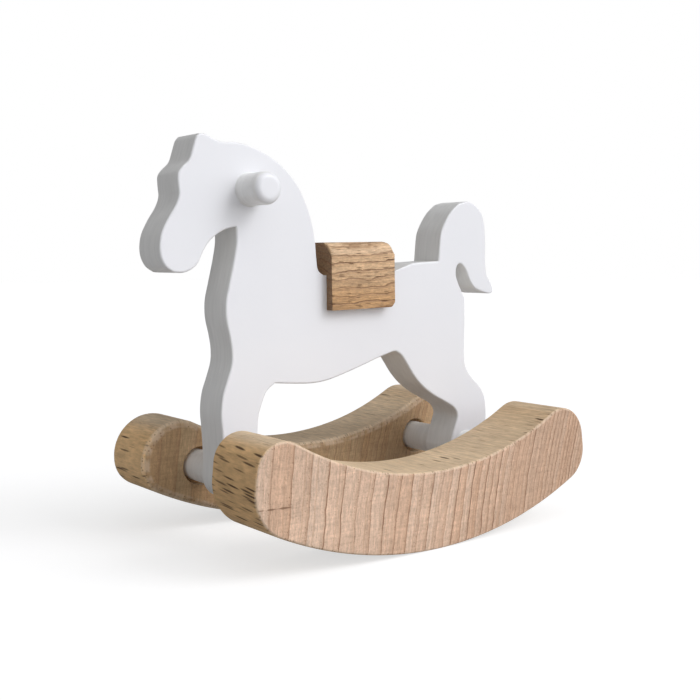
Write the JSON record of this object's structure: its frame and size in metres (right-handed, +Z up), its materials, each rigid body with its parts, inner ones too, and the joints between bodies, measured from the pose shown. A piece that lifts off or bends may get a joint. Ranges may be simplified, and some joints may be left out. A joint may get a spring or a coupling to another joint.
{
  "type": "toy rocking horse",
  "caption": "Small rocking horse: a flat white horse board on dowels between thick curved wooden rockers, with a wooden saddle.",
  "frame": {"origin": "on the floor, under the middle of the bounding box", "axes": "+X towards the horse's head, +Y towards the horse's left, +Z up; the rockers stand level"},
  "size_m": [0.1584, 0.0996, 0.1416],
  "materials": {
    "white_paint": "satin white paint",
    "white_dowel": "satin white paint",
    "rocker_wood": "natural, sanded, unvarnished",
    "saddle_wood": "natural, oiled"
  },
  "bodies": {
    "root": {"horse_body": "white_paint", "handle_dowel": "white_dowel", "front_dowel": "white_dowel", "rear_dowel": "white_dowel", "left_rocker": "rocker_wood", "right_rocker": "rocker_wood", "saddle": "saddle_wood"}
  },
  "joints": []
}
